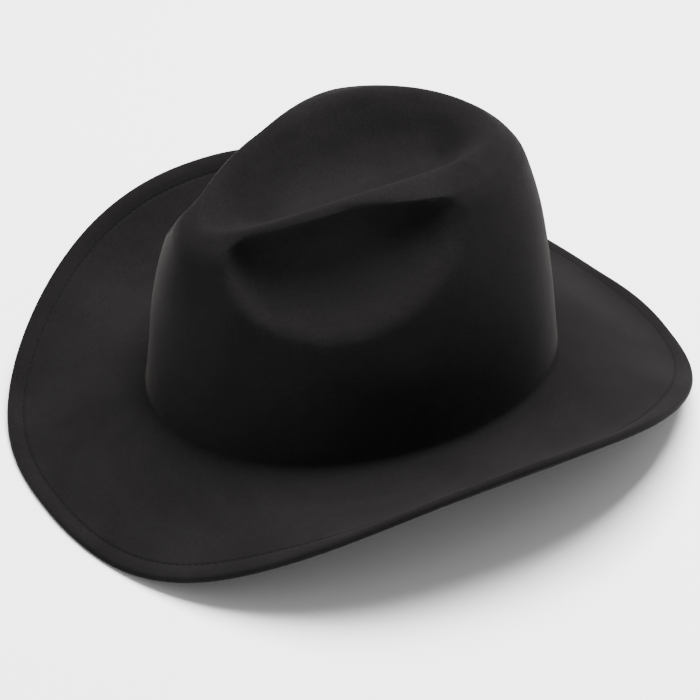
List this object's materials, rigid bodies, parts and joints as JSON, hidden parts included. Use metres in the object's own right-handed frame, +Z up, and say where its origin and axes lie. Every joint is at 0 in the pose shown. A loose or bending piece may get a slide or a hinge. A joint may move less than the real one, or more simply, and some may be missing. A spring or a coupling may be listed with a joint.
{
  "type": "western felt hat",
  "caption": "Black felt western hat with a pinched teardrop crown, two side dents, a rolled brim and a turned, sewn hem; hollow and open below for a head.",
  "frame": {"origin": "on the resting plane, under the middle of the brim", "axes": "+Z up through the crown, -Y towards the hat's front, +X towards the wearer's left"},
  "size_m": [0.3064, 0.3366, 0.148],
  "materials": {
    "blocked_felt": "matt brushed black wool felt",
    "hem_felt": "matt pressed black wool felt"
  },
  "bodies": {
    "root": {"felt_body": "blocked_felt", "brim_hem": "hem_felt"}
  },
  "joints": []
}
